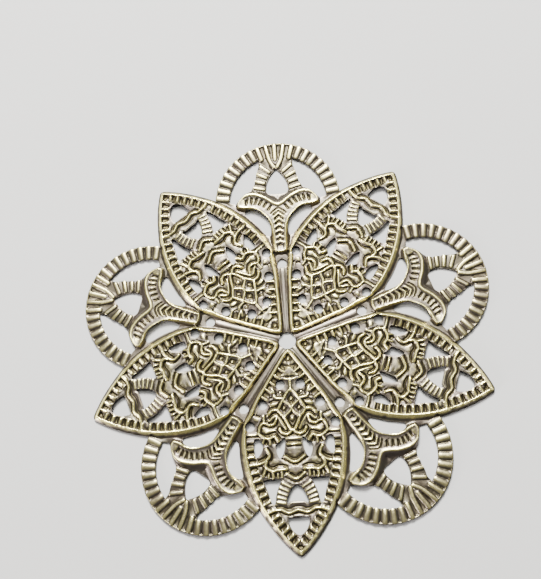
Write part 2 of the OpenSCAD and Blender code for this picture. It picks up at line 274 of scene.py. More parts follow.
LOBE_GAPS = (
    [(0, 27.2), (0.5, 26.75), (1, 26.1), (1.4, 25.4), (1.6, 24.8), (1.7, 24.2), (1.7, 23.7), (1.5, 23.3),
     (1, 23.1), (0, 23.1)],
    [(1.4, 16.5), (1.3, 18), (1.6, 19), (2.1, 19.7), (2.8, 20.3), (3.6, 20.75), (4.4, 20.85), (5, 20.7),
     (5.2, 20.2), (4.6, 19.5), (3.9, 18.8), (3.2, 18), (2.7, 17.3), (2.2, 16.7), (1.9, 16.4)],
)
UPPER_GAP_IN = [(6.55, 21.85), (5.9, 22.4), (5.2, 23.1), (4.6, 23.6), (3.9, 24.1), (3.5, 24.8), (3.3, 25.6),
                (3.1, 26.4), (2.9, 27.2), (2.6, 27.8)]
UPPER_GAP_ANGLES = (69, 4)

# Lobe: the ring's ribs by angle about its middle, then the crown over the pointed arch
RING_RIB_PITCH = 8.2
RING_RIBS = range(3, 11)
RING_RIB_REACH = (7.8, 9.36)
RING_RIB_HALF_W = 0.6
RING_RIB_POWER = 2.6
# Thin lip along the ring's edge
LIP_INSET = 0.1
LIP_HALF_W = 0.15
LIP_CREST = 0.58
LIP_ANGLES = (95, -20)
LOBE_EDGE_ANGLES = (90, -40)
LOBE_RIDGES = (
    (0.42, RING_RIB_CREST, [(0, 31.1), (0, 28.7)]),
    (0.38, RING_RIB_CREST, [(1.38, 31), (1.2, 30), (0.95, 28.9), (0.65, 28.2), (0.25, 27.5)]),
    (0.45, RING_RIB_CREST, [(2.7, 30.7), (2.15, 28.9)]),
    (0.36, 0.6, [(1.1, 26.75), (2.35, 27.75)], [(1.6, 25.85), (3, 26.5)], [(2, 24.95), (3.4, 25.4)]),
    (0.32, 0.6, [(2, 23.95), (3.6, 24.35)]),
)
# The floor between two petals' roots is gently rounded
SPOKE = [(0, 1.2), (0, 11)]
SPOKE_HALF_W = 0.42
SPOKE_CREST = 0.52
SPOKE_POWER = 2
LOBE_PADS = (
    ([(0, 27.95), (0.35, 28.4), (0.55, 28.95), (0, 29)], 0.5),
)

LEAF_FOOT = [(0, 22.2), (1.1, 22.88), (1.9, 23.42), (2.9, 23.75), (4, 23.8), (5, 23.52), (5.9, 22.85),
             (6.5, 21.95), (6.45, 21.05), (5.3, 20.65), (4.4, 20.4), (3.8, 20.15), (3.2, 19.75), (2.6, 19.2),
             (2.05, 18.5), (1.7, 17.8), (1.5, 16.4), (1.4, 14.6), (1.25, 13.75), (0.9, 13.4), (0, 13.28)]
LEAF_BEADS = (
    [(0, 21.22), (0.6, 21.42), (1.2, 21.88), (2, 22.48), (2.8, 22.88), (3.6, 23.12), (4.35, 23.15),
     (5.05, 22.98), (5.7, 22.45), (6.1, 21.85), (6.18, 21.4)],
    [(6.1, 21.3), (5.2, 21.12), (4.4, 21.03), (3.65, 20.85), (2.9, 20.42), (2.35, 19.9), (1.85, 19.35),
     (1.42, 18.75), (1.12, 18.05), (1, 17.2), (0.92, 16), (0.88, 15), (0.82, 14.2), (0.6, 13.78),
     (0, 13.65)],
)
LEAF_BEAD_HALF_W = 0.3
# Dark strokes across the leaf's arm and the stem's grooves, then the chevrons between those
LEAF_GROOVES = (
    (0.21, 0.79, [(1.05, 21.15), (1.5, 20.5)], [(1.7, 21.7), (2.2, 20.95)], [(2.42, 22.15), (2.85, 21.35)],
     [(3.2, 22.4), (3.5, 21.55)], [(3.98, 22.5), (4.15, 21.65)], [(4.76, 22.3), (4.82, 21.7)]),
    (0.14, 0.8, [(0, 20.6), (0.45, 20.45), (0.9, 20.1), (1.15, 19.8)]),
    (0.12, 0.82, [(0, 20.1), (0.4, 19.95), (0.85, 19.5)]),
    (0.19, 0.76, [(0, 19.3), (0.5, 18.95)], [(0, 18.42), (0.45, 18.15)], [(0, 17.52), (0.42, 17.28)],
     [(0, 16.62), (0.42, 16.4)]),
    (0.18, 0.76, [(0, 15.75), (0.35, 15.55)]),
    (0.25, 0.76, [(0, 14.75), (0.1, 14.7)]),
)
LEAF_PADS = (
    ([(5.15, 21.3), (6, 21.4), (5.9, 21.95), (5.4, 22.5), (5.12, 22.2)], 1),
)
LEAF_RIDGES = (
    (0.13, 1, [(0, 19.75), (0.45, 19.5), (0.85, 19.05)], [(0, 18.9), (0.45, 18.62), (0.8, 18.3)],
     [(0, 18), (0.45, 17.76), (0.75, 17.5)], [(0, 17.08), (0.7, 16.7)], [(0, 16.18), (0.65, 15.85)],
     [(0, 15.3), (0.6, 15.05)]),
)

# How flat the forms are on top or below, how far they spread, and how soft they run into each other
RIDGE_POWER = 1.5
RIDGE_FLARE = 1.15
RIB_POWER = 4
GROOVE_FLARE = 1.15
GROOVE_POWER = 3
PAD_SLOPE = 1.2
PAD_REACH = 0.5
SOFT = 0.012
# How steep the petal's walls are, by the distance from the flower's middle
WALL_SLOPES = (1.9, 1.15)
WALL_SLOPE_OUT = (9, 14)
# The leaf's walls grow steeper away from its heart
LEAF_HEART_OUT = 19
LEAF_WALL_SLOPES = (1.0, 2.0)
LEAF_WALL_REACH = (4.9, 5.6)
# Rounding that the punch leaves at each cut edge
EDGE_DROP = 0.07
EDGE_REACH = 0.16

# Cells of the die's grid, how far it runs past the half sector, and how many cells inside its last
# line it is still read
DIE_CELL = 0.05
DIE_MARGIN = 0.7
LAST_CELL = 1.001
# Beyond this many half widths a stroke changes nothing
STROKE_REACH = 2
# Spacing of the blank's points inside it and along its cuts, and how near two of them may come
BLANK_PITCH = 0.105
ROW_SHARE = math.sqrt(0.75)
CUT_PITCH = 0.13
LEAST_SPACING = 0.55 * BLANK_PITCH
AXIS_SPACING = 0.4 * BLANK_PITCH
NEIGHBOUR_CELL = 0.2
# Distances at which points count as one or as on an axis, or are merged
DROP_TOLERANCE = 1e-6
AXIS_TOLERANCE = 1e-4
MIRROR_MERGE = 0.002
JOIN_MERGE = 0.003
# Least squared length that a stretch of line is taken to have
LEAST_SQUARE = 1e-12
# Steps from one charted point of a curve to the next, and in a whole arc
CURVE_STEPS = 5
ARC_STEPS = 48

# Triangles left in the half sector, ten of which make the flower
SECTOR_FACES = 19500
SMOOTH_ANGLE = 38
# The back follows the relief only softly
BACK_SMOOTHING_SHARE = 0.5
BACK_SMOOTHING_ROUNDS = 14
# The thinnest that the pressing leaves the sheet, as a share of its thickness
LEAST_WALL_SHARE = 0.6
# The back stays flat until the top has risen by this share of the sheet, and then catches up
BACK_FLAT_SHARE = 0.35
BACK_STEEPNESS = 2
# Polish: how wide a place is compared with its surroundings, how much its level and its standing
# proud of them count, the levels that count as neutral, and the darkening on the petal's and leaf's
# walls, which is partly patina and partly painted shade of the steep walls
POLISH_BLUR = 0.2
BLUR_REACH = 3
LEVEL_SHARE = 0.40
CREVICE_SHARE = 0.85
LOBE_NEUTRAL = 0.50
LOBE_SHARE = 0.7
LEAF_NEUTRAL = 0.90
PETAL_WALL_STAIN_AND_SHADE = 0.14
LEAF_WALL_STAIN_AND_SHADE = 0.07
WALL_MIDDLE = 0.2
# Polish of the back, the painted shade on the cut walls (a low polish that colours them dark),
# and how far from level a face is to count as one
BACK_POLISH = 0.0
CUT_WALL_PAINTED_SHADE = -0.09
CUT_WALL_TILT = 0.3

# Scales of the finish's clouds, grain and pitting, and of the floor's mottle, in cells to the metre
CLOUD_SCALE = 260.0
GRAIN_SCALE = 2600.0
PITTING_SCALE = 7000.0
PAPER_SCALE = 40.0
# How far clouds and grain shift the border between rubbed and dark, and the borders themselves
NOISE_MIDDLE = 0.5
WANDER = 0.03
RUBBED = (0.01, 0.15)
SUNK_AND_SHADED = (-0.10, 0.0)
CLOUDED = (0.35, 0.65)
DULL = 0.32
SHINE_GAIN = 0.12
GRAIN_ROUGHNESS = 0.1
METALLIC = 0.85
PITTING_SHARE = 0.5
SKIN_STRENGTH = 0.35
SKIN_HEIGHT = 0.00002
PAPER_ROUGHNESS = 0.8
PAPER_SHADE = 0.96

# Name, place, side, power and tint of each soft box: the key behind and above, a weak one
# overhead, and a low one at the front left that lights the walls turned away from the key
SOFT_BOXES = (
    ("key", (-0.03, 0.36, 0.43), 0.15, 13.0, (1.0, 0.99, 0.96)),
    ("overhead", (0.0, 0.18, 0.53), 0.25, 2.0, (1.0, 0.99, 0.97)),
    ("fill", (-0.45, -0.25, 0.15), 0.2, 3.5, (1.0, 0.93, 0.94)),
)
ROOM_TINT = (0.9, 0.92, 1.0, 1)
ROOM_STRENGTH = 0.045
FLOOR_BELOW = 0.00001
NEAREST_SEEN = 0.001
FRAME_WIDTH = 36

# Sockets of a Mix node that mixes colours
MIX_FACTOR = 0
MIX_FIRST = 6
MIX_SECOND = 7
MIX_RESULT = 2

# The way out from a lobe's middle, in degrees
OUTWARDS = 90


# Plane geometry

def arc(middle, radius, first, last, steps=ARC_STEPS):
    """Points on an arc about a middle, from one angle to another in degrees."""
    return [(middle[0] + radius * math.cos(math.radians(first + (last - first) * i / steps)),
             middle[1] + radius * math.sin(math.radians(first + (last - first) * i / steps)))
            for i in range(steps + 1)]


def point_at(middle, radius, angle):
    """The point at a radius and an angle in degrees from a middle."""
    return arc(middle, radius, angle, angle, 1)[0]


def circle(middle, radius):
    """Points once round a middle."""
    return arc(middle, radius, 0, 360)


def across(line):
    """A line that starts on the axis, carried on to its mirror image."""
    if line[0][0] > 0:
        return line
    return [(-x, y) for x, y in line[:0:-1]] + line


def closed_across(outline):
    """A half outline that starts and ends on the axis, closed by its mirror image."""
    if outline[0][0] > 0:
        return outline
    return outline + [(-x, y) for x, y in outline[::-1] if x > 0]


def curved(points, closed=False):
    """A smooth curve through charted points."""
    p = np.array(points, float)
    if len(p) < 3:
        return p
    if closed:
        p = np.vstack([p[-1], p, p[:2]])
    else:
        p = np.vstack([2 * p[0] - p[1], p, 2 * p[-1] - p[-2]])
    t = np.arange(CURVE_STEPS)[:, None] / CURVE_STEPS
    runs = []
    for a, b, c, d in zip(p, p[1:], p[2:], p[3:]):
        bend = (2 * a - 5 * b + 4 * c - d) * t ** 2 + (3 * b - a - 3 * c + d) * t ** 3
        runs.append(0.5 * (2 * b + (c - a) * t + bend))
    return np.vstack(runs if closed else runs + [p[-2]])


def spaced(line, pitch):
    """The same line with points a given distance apart, ends kept."""
    line = np.array(line, float)
    steps = np.hypot(*np.diff(line, axis=0).T)
    run = np.concatenate([[0], np.cumsum(steps)])
    marks = np.linspace(0, run[-1], max(2, round(run[-1] / pitch) + 1))
    return np.column_stack([np.interp(marks, run, line[:, 0]), np.interp(marks, run, line[:, 1])])


def looped(outline):
    """An outline with its first point repeated at the end."""
    return np.vstack([outline, outline[:1]])


def distance(x, y, line):
    """How far each point lies from a line."""
    best = np.full(x.shape, np.inf)
    line = np.asarray(line, float)
    for (ax, ay), (bx, by) in zip(line, line[1:]):
        dx, dy = bx - ax, by - ay
        along = np.clip(((x - ax) * dx + (y - ay) * dy) / max(dx * dx + dy * dy, LEAST_SQUARE), 0, 1)
        best = np.minimum(best, (x - ax - along * dx) ** 2 + (y - ay - along * dy) ** 2)
    return np.sqrt(best)


def inside(x, y, outline):
    """Whether each point lies inside a closed outline."""
    within = np.zeros(x.shape, bool)
    ring = looped(np.asarray(outline, float))
    for (ax, ay), (bx, by) in zip(ring, ring[1:]):
        if ay != by:
            within ^= ((ay > y) != (by > y)) & (x < ax + (bx - ax) * (y - ay) / (by - ay))
    return within


def depth_inside(x, y, outline):
    """Distance in from an outline, less than nothing outside it."""
    away = distance(x, y, looped(np.asarray(outline, float)))
    return np.where(inside(x, y, outline), away, -away)


def lobe_axes(x, y):
    """The same points told from the lobe's axis. The change is its own inverse."""
    return (y * math.sin(HALF_TURN) - x * math.cos(HALF_TURN),
            x * math.sin(HALF_TURN) + y * math.cos(HALF_TURN))


def from_lobe(points):
    """Points told from the lobe's axis, told from the petal's."""
    points = np.asarray(points, float)
    return np.column_stack(lobe_axes(points[:, 0], points[:, 1]))


def soft_max(a, b):
    """The higher of two heights, rounded where they meet."""
    return (a + b + np.sqrt((a - b) ** 2 + SOFT ** 2)) / 2


def soft_min(a, b):
    """The lower of two heights, rounded where they meet."""
    return -soft_max(-a, -b)


# Outlines of the flower's parts

def petal_foot():
    """Half the outline where the petal's wall meets the sheet, from root to tip."""
    side = list(map(tuple, curved(FOOT_ROOT)))
    for angle in range(1, FOOT_LAST_ANGLE + 1):
        radius = FOOT_R - FOOT_DRAW_IN * np.interp(angle, FOOT_DRAW_ANGLES, (0, 1))
        point = point_at(RIM_MIDDLE, radius, angle)
        if point[0] > TIP_TURN:
            side.append(point)
    return side + list(TIP_POINTS)


def rim_crest():
    """Half the line along the top of the petal's rim."""
    return list(map(tuple, curved(RIM_ROOT))) + arc(RIM_MIDDLE, CREST_R, *CREST_ANGLES) + [CREST_TIP]


def upper_gap():
    """The lobe's gap between its ring and the leg of its pointed arch."""
    ring = arc((0, LOBE_MIDDLE_OUT), RING_IN_R, *UPPER_GAP_ANGLES)
    return list(map(tuple, curved(UPPER_GAP_IN))) + ring


def gap_outlines():
    """Every cut-out that the half sector touches, as closed outlines on the petal's axes."""
    for gap in PETAL_GAPS:
        yield curved(closed_across(gap), closed=True)
    for gap in LOBE_GAPS:
        yield from_lobe(curved(closed_across(gap), closed=True))
    yield from_lobe(upper_gap())
    for middle in PETAL_HOLES:
        yield np.array(circle(middle, SMALL_HOLE_R))
    yield from_lobe(circle((0, SPOKE_HOLE_OUT), SMALL_HOLE_R))
    yield np.array(circle((0, 0), CENTRE_HOLE_R))


# The die

class Die:
    """A pressing tool: a height over every point of a grid, shaped stroke by stroke."""

    def __init__(self, x, y, level):
        self.x, self.y = x, y
        self.z = np.full(x.shape, float(level))
        self.ground = level

    def near(self, line, reach):
        """Grid points in the box around a line, widened by a reach."""
        low, high = np.min(line, axis=0) - reach, np.max(line, axis=0) + reach
        beside = (self.x > low[0]) & (self.x < high[0])
        return np.nonzero(beside & (self.y > low[1]) & (self.y < high[1]))

    def rib(self, line, half_w, crest, power=RIB_POWER):
        """Raise a rib along a line: a high power gives it a flat top and steep flanks."""
        at = self.near(line, STROKE_REACH * half_w)
        away = distance(self.x[at], self.y[at], line)
        self.z[at] = soft_max(self.z[at], crest - (crest - self.ground) * (away / half_w) ** power)

    def ridge(self, line, half_w, crest, power=RIDGE_POWER):
        """Raise a ridge with a narrow crest and broad flanks along a line."""
        self.rib(line, RIDGE_FLARE * half_w, crest, power)

    def slot(self, line, half_w, bed, brim=COMB_TOP, power=RIB_POWER):
        """Sink a slot with a flat bed and steep sides that reach its brim."""
        at = self.near(line, STROKE_REACH * half_w)
        away = distance(self.x[at], self.y[at], line)
        self.z[at] = soft_min(self.z[at], bed + (brim - bed) * (away / half_w) ** power)

    def groove(self, line, half_w, bed):
        """Press in a rounded groove along a line."""
        self.slot(line, GROOVE_FLARE * half_w, bed, self.ground, GROOVE_POWER)

    def strokes(self, press, table):
        """Press every line of a table, with its mirror image where it starts on the axis."""
        for half_w, level, *lines in table:
            for line in lines:
                press(curved(across(line)), half_w, level)

    def pad(self, outline, level):
        """Lift a flat patch with sloping sides."""
        at = self.near(outline, PAD_REACH)
        out = np.maximum(-depth_inside(self.x[at], self.y[at], outline), 0)
        self.z[at] = soft_max(self.z[at], level - PAD_SLOPE * out)

    def pads(self, table):
        """Lift every pad of a table, with its mirror image where it starts on the axis."""
        for outline, level in table:
            self.pad(closed_across(outline), level)

    def dot(self, middle, radius, top, bed):
        """Raise a round dot from a bed."""
        at = self.near([middle], STROKE_REACH * radius)
        away = np.hypot(self.x[at] - middle[0], self.y[at] - middle[1])
        self.z[at] = soft_max(self.z[at], top - (top - bed) * (away / radius) ** 2)

    def lozenge(self, middle, half, bed, dot_r, dot_top):
        """Press in a lozenge and leave a dot standing in the middle of it."""
        at = self.near([middle], STROKE_REACH * max(half))
        across_it = np.abs(self.x[at] - middle[0]) / half[0] + np.abs(self.y[at] - middle[1]) / half[1]
        self.z[at] = soft_min(self.z[at], bed + (self.ground - bed) * across_it ** RIB_POWER)
        self.dot(middle, dot_r, dot_top, bed)


def petal_die(x, y):
    """The petal's pressed face: its comb, its ornament and its rim."""
    die = Die(x, y, PLATE)
    die.strokes(die.groove, PETAL_GROOVES)
    inner, outer = (arc(RIM_MIDDLE, r, *COMB_ANGLES) for r in COMB_REACH)
    die.pad(inner + outer[::-1], COMB_TOP)
    die.pad(ROOT_COMB, COMB_TOP)
    for i in range(TICKS):
        angle = TICK_FIRST + TICK_PITCH * i
        die.slot([point_at(RIM_MIDDLE, r, angle) for r in SLOT_REACH], SLOT_HALF_W, SLOT_BED)
        angle += TICK_PITCH / 2
        die.ridge([point_at(RIM_MIDDLE, r, angle) for r in COMB_RIB_REACH], COMB_RIB_HALF_W,
                  COMB_RIB_CREST)
    pits = np.array(ROOT_PITS)
    inward = np.array(ROOT_INWARD)
    for pit in pits:
        die.slot([pit + reach * inward for reach in ROOT_SLOT_REACH], ROOT_SLOT_HALF_W, SLOT_BED)
    for rib in (pits[1:] + pits[:-1]) / 2:
        die.ridge([rib + reach * inward for reach in ROOT_RIB_REACH], ROOT_RIB_HALF_W, COMB_RIB_CREST)
    die.slot([TIP_PIT, TIP_PIT], TIP_PIT_HALF_W, TIP_PIT_BED)
    for lozenge in LOZENGES:
        die.lozenge(*lozenge)
    die.pads(PETAL_PADS)
    die.strokes(die.ridge, PETAL_RIDGES)
    die.ridge(across(rim_crest()), RIM_HALF_W, RIM_CREST, RIM_POWER)
    return die.z


def leaf_die(s, e):
    """The pressed face of the leaf that stands between two petals."""
    die = Die(s, e, LEAF_FLOOR)
    die.strokes(die.ridge, LEAF_RIDGES)
    die.strokes(die.slot, LEAF_GROOVES)
    die.pads(LEAF_PADS)
    for line in LEAF_BEADS:
        die.ridge(across(list(map(tuple, curved(line)))), LEAF_BEAD_HALF_W, LEAF_CREST)
    return die.z


def lobe_die(s, e):
    """The pressed face of the sheet itself: the lobe's ring and arch, and the spoke."""
    die = Die(s, e, SHEET_TOP)
    die.strokes(die.rib, LOBE_RIDGES)
    die.ridge(SPOKE, SPOKE_HALF_W, SPOKE_CREST, SPOKE_POWER)
    middle = (0, LOBE_MIDDLE_OUT)
    for i in RING_RIBS:
        angle = OUTWARDS - RING_RIB_PITCH * i
        die.rib([point_at(middle, r, angle) for r in RING_RIB_REACH], RING_RIB_HALF_W, RING_RIB_CREST,
                RING_RIB_POWER)
    die.pads(LOBE_PADS)
    die.ridge(arc(middle, LOBE_R - LIP_INSET, *LIP_ANGLES), LIP_HALF_W, LIP_CREST)
    return die.z


class Relief:
    """The whole half sector's height, and how rubbed and how darkened each point is, with painted shade on
    its walls, read off its die at any point.

    A thickness and a depth other than the chart's move the sheet's top and stretch what rises from it.
    """

    def __init__(self, sheet=SHEET_TOP, depth=1.0):
        self.sheet = sheet
        xs = np.arange(-DIE_MARGIN, REACH * math.sin(HALF_TURN) + DIE_MARGIN, DIE_CELL)
        ys = np.arange(-DIE_MARGIN, REACH + DIE_MARGIN, DIE_CELL)
        x, y = np.meshgrid(xs, ys, indexing="ij")
        s, e = lobe_axes(x, y)
        petal_depth = depth_inside(np.abs(x), y, closed_across(petal_foot()))
        leaf_depth = depth_inside(np.abs(s), e, closed_across(LEAF_FOOT))
        lobe, petal, leaf = lobe_die(s, e), petal_die(x, y), leaf_die(s, e)
        petal_wall = SHEET_TOP + np.interp(y, WALL_SLOPE_OUT, WALL_SLOPES) * petal_depth
        z = soft_max(lobe, soft_min(petal_wall, petal))
        leaf_slope = np.interp(np.hypot(s, e - LEAF_HEART_OUT), LEAF_WALL_REACH, LEAF_WALL_SLOPES)
        z = soft_max(z, soft_min(SHEET_TOP + leaf_slope * leaf_depth, leaf))
        cut = np.full(x.shape, np.inf)
        for outline in gap_outlines():
            cut = np.minimum(cut, distance(x, y, looped(outline)))
        z -= EDGE_DROP * np.clip(1 - cut / EDGE_REACH, 0, 1) ** 2
        self.height = sheet + depth * (z - SHEET_TOP)
        lobe, petal, leaf = (polish_of(part - level) for part, level in (
            (lobe, LOBE_NEUTRAL), (petal, PLATE), (leaf, LEAF_NEUTRAL)))
        self.wear_and_shade = np.where(petal_depth > 0, petal, np.where(leaf_depth > 0, leaf, LOBE_SHARE * lobe))
        # The petal's and the leaf's walls are darkened: partly patina, partly painted shade of the steep
        # walls
        for inward, stain_and_shade in ((petal_depth, PETAL_WALL_STAIN_AND_SHADE), (leaf_depth, LEAF_WALL_STAIN_AND_SHADE)):
            self.wear_and_shade -= stain_and_shade * np.clip(1 - np.abs(inward - WALL_MIDDLE) / WALL_MIDDLE, 0, 1)

    def at(self, table, x, y):
        """A table's value at each point, between the four nearest grid points."""
        u = np.clip((x + DIE_MARGIN) / DIE_CELL, 0, table.shape[0] - LAST_CELL)
        v = np.clip((y + DIE_MARGIN) / DIE_CELL, 0, table.shape[1] - LAST_CELL)
        i, j = u.astype(int), v.astype(int)
        u, v = u - i, v - j
        return ((table[i, j] * (1 - v) + table[i, j + 1] * v) * (1 - u)
                + (table[i + 1, j] * (1 - v) + table[i + 1, j + 1] * v) * u)


def blurred(table, sigma):
    """A table smoothed by a bell curve a number of cells wide."""
    reach = math.ceil(BLUR_REACH * sigma)
    bell = np.exp(-0.5 * (np.arange(-reach, reach + 1) / sigma) ** 2)
    bell /= bell.sum()
    for axis in (0, 1):
        padded = np.pad(table, [(reach, reach) if a == axis else (0, 0) for a in (0, 1)], mode="edge")
        size = table.shape[axis]
        table = sum(w * np.take(padded, range(k, k + size), axis=axis) for k, w in enumerate(bell))
    return table


def polish_of(rise):
    """How much rubbing has polished each point: the high ones and those that stand out most, those in
    hollows least.
    """
    return LEVEL_SHARE * rise + CREVICE_SHARE * (rise - blurred(rise, POLISH_BLUR / DIE_CELL))


# The flat blank

def on_flower(x, y):
    """Whether each point of the half sector lies on the sheet."""
    s, e = lobe_axes(x, y)
    keep = inside(x, y, closed_across(petal_foot()))
    keep |= np.hypot(s, e - LOBE_MIDDLE_OUT) < LOBE_R
    keep |= (s < np.maximum(HUB_LAND, SPOKE_WIDENING * e)) & (e < SPOKE_END)
    keep &= (x > 0) & (s > 0)
    for outline in gap_outlines():
        keep &= ~inside(x, y, outline)
    return keep


def cut_lines():
    """The lines that the blank's triangles follow: its edges, its cuts and the feet of its walls."""
    axis = [(0, 0), (0, REACH)]
    lobe_edge = arc((0, LOBE_MIDDLE_OUT), LOBE_R, *LOBE_EDGE_ANGLES)
    for line in (axis, from_lobe(axis), petal_foot(), from_lobe(lobe_edge), from_lobe(LEAF_FOOT[::-1])):
        yield np.array(line, float), False
    for outline in gap_outlines():
        yield outline, True


def outline_points():
    """Points along every cut line, and the edges between them."""
    points, edges = [], []
    for line, closed in cut_lines():
        marks = spaced(looped(line) if closed else line, CUT_PITCH)
        if closed:
            marks = marks[:-1]
        first = len(points)
        points += [tuple(p) for p in marks]
        edges += [(first + i, first + i + 1) for i in range(len(marks) - 1)]
        if closed:
            edges.append((len(points) - 1, first))
    return points, edges


def inner_points():
    """Rows of evenly spaced points on the sheet, each row half a step on from the last."""
    row_h = BLANK_PITCH * ROW_SHARE
    x, y = np.meshgrid(np.arange(0, REACH, BLANK_PITCH), np.arange(0, REACH, row_h))
    x[1::2] += BLANK_PITCH / 2
    x, y = x.ravel(), y.ravel()
    s, _ = lobe_axes(x, y)
    keep = (x > AXIS_SPACING) & (s > AXIS_SPACING)
    x, y = x[keep], y[keep]
    keep = on_flower(x, y)
    return list(zip(x[keep], y[keep]))


def clear_of(marks, points):
    """The points that keep the least spacing from every mark."""
    cells = {}
    for qx, qy in marks:
        cells.setdefault((int(qx // NEIGHBOUR_CELL), int(qy // NEIGHBOUR_CELL)), []).append((qx, qy))
    for px, py in points:
        i, j = int(px // NEIGHBOUR_CELL), int(py // NEIGHBOUR_CELL)
        near = [q for a in (i - 1, i, i + 1) for b in (j - 1, j, j + 1) for q in cells.get((a, b), ())]
        if all((px - qx) ** 2 + (py - qy) ** 2 > LEAST_SPACING ** 2 for qx, qy in near):
            yield px, py


def blank():
    """Points and triangles of the flat half sector, fine enough to press."""
    points, edges = outline_points()
    points += list(clear_of(points, inner_points()))
    verts, _, faces, *_ = delaunay_2d_cdt([Vector(p) for p in points], edges, [], 0, DROP_TOLERANCE)
    verts = np.array([tuple(v) for v in verts])
    faces = np.array(faces)
    middles = verts[faces].mean(axis=1)
    faces = faces[on_flower(middles[:, 0], middles[:, 1])]
    used = np.unique(faces)
    renumber = np.full(len(verts), -1)
    renumber[used] = np.arange(len(used))
    return verts[used], renumber[faces]


# Small helpers for Blender

def alone(obj):
    """Select one object and nothing else, and make it the active one."""
    bpy.ops.object.select_all(action="DESELECT")
    obj.select_set(True)
    bpy.context.view_layer.objects.active = obj


def coordinates(mesh):
    """The mesh's points, one row each."""
    flat = np.empty(3 * len(mesh.vertices), np.float32)
    mesh.vertices.foreach_get("co", flat)
    return flat.reshape(-1, 3).astype(float)


def place(mesh, points):
    """Move the mesh's points."""
    mesh.vertices.foreach_set("co", np.asarray(points, np.float32).ravel())
    mesh.update()


def corners_and_rise(mesh):
    """For each corner of each triangle, its point and how far the triangle looks up."""
    corners = np.empty(len(mesh.loops), np.int32)
    mesh.loops.foreach_get("vertex_index", corners)
    normals = np.empty(3 * len(mesh.polygons), np.float32)
    mesh.polygons.foreach_get("normal", normals)
    return corners, np.repeat(normals[2::3], 3)


@contextmanager
def editing(selection="SELECT"):
    """Edit mode on the active object, with all of it selected, none, or what was selected before."""
    bpy.ops.object.mode_set(mode="EDIT")
    if selection:
        bpy.ops.mesh.select_all(action=selection)
    yield
    bpy.ops.object.mode_set(mode="OBJECT")


def apply_modifier(kind, **settings):
    """Give the active object a modifier and apply it."""
    obj = bpy.context.object
    modifier = obj.modifiers.new(kind.title(), kind)
    for key, value in settings.items():
        setattr(modifier, key, value)
    bpy.ops.object.modifier_apply(modifier=modifier.name)


def pressed_sector(relief):
    """One half sector of the sheet, cut, pressed and given its thickness."""
    flat, faces = blank()
    mesh = bpy.data.meshes.new("flower")
    top = np.column_stack([flat, relief.at(relief.height, flat[:, 0], flat[:, 1])])
    mesh.from_pydata([tuple(p) for p in top], [], faces.tolist())
    obj = bpy.data.objects.new("flower", mesh)
    bpy.context.collection.objects.link(obj)
    alone(obj)
    top_count = len(mesh.vertices)
    with editing():
        bpy.ops.mesh.normals_make_consistent(inside=False)
        bpy.ops.mesh.extrude_region_move(TRANSFORM_OT_translate={"value": (0, 0, -relief.sheet)})
        bpy.ops.mesh.vertices_smooth(factor=BACK_SMOOTHING_SHARE, repeat=BACK_SMOOTHING_ROUNDS,
                                     xaxis=False, yaxis=False, zaxis=True)
    points = coordinates(mesh)
    back = np.arange(len(points)) >= top_count
    x, y = points[back, 0], points[back, 1]
    ceiling = relief.at(relief.height, x, y) - LEAST_WALL_SHARE * relief.sheet
    lifted = np.minimum(points[back, 2], ceiling)
    caught_up = BACK_STEEPNESS * (lifted - BACK_FLAT_SHARE * relief.sheet)
    points[back, 2] = np.clip(caught_up, 0, np.maximum(lifted, 0))
    place(mesh, points)
    open_on_axes(mesh)
    in_fixed_order(mesh)
    return obj


def open_on_axes(mesh):
    """Take out the walls that the extrusion left along the two axes, where the next half joins on."""
    points = coordinates(mesh)
    s, _ = lobe_axes(points[:, 0], points[:, 1])
    on_petal, on_lobe = np.abs(points[:, 0]) < AXIS_TOLERANCE, np.abs(s) < AXIS_TOLERANCE
    with editing("DESELECT"):
        bpy.ops.mesh.select_mode(type="FACE")
    for face in mesh.polygons:
        corners = list(face.vertices)
        face.select = bool(on_petal[corners].all() or on_lobe[corners].all())
    with editing(None):
        bpy.ops.mesh.delete(type="ONLY_FACE")
        bpy.ops.mesh.select_mode(type="VERT")
    with editing():
        bpy.ops.mesh.normals_make_consistent(inside=False)


def in_fixed_order(mesh):
    """Put edges and faces in the order of their points. The extrusion leaves them in a new one each run."""
    points = coordinates(mesh).tolist()
    edges = sorted(edge.key for edge in mesh.edges)
    faces = []
    for face in mesh.polygons:
        corners = list(face.vertices)
        first = corners.index(min(corners))
        faces.append(corners[first:] + corners[:first])
    mesh.clear_geometry()
    mesh.from_pydata(points, edges, sorted(faces))


def thin(obj):
    """Drop triangles where the relief is plain, and lay the open borders back on their axes.

    No point is left below the floor that the back lies on.
    """
    mesh = obj.data
    apply_modifier("TRIANGULATE")
    apply_modifier("DECIMATE", ratio=min(1, SECTOR_FACES / len(mesh.polygons)))
    points = coordinates(mesh)
    shared = {}
    for face in mesh.polygons:
        for edge in face.edge_keys:
            shared[edge] = shared.get(edge, 0) + 1
    border = sorted({v for edge, count in shared.items() if count == 1 for v in edge})
    s, e = lobe_axes(points[border, 0], points[border, 1])
    to_petal = np.abs(points[border, 0]) <= np.abs(s)
    border = np.array(border)
    points[border[to_petal], 0] = 0
    back_x, back_y = lobe_axes(np.zeros_like(e), e)
    points[border[~to_petal], 0] = back_x[~to_petal]
    points[border[~to_petal], 1] = back_y[~to_petal]
    points[:, 2] = np.maximum(points[:, 2], 0)
    place(mesh, points)


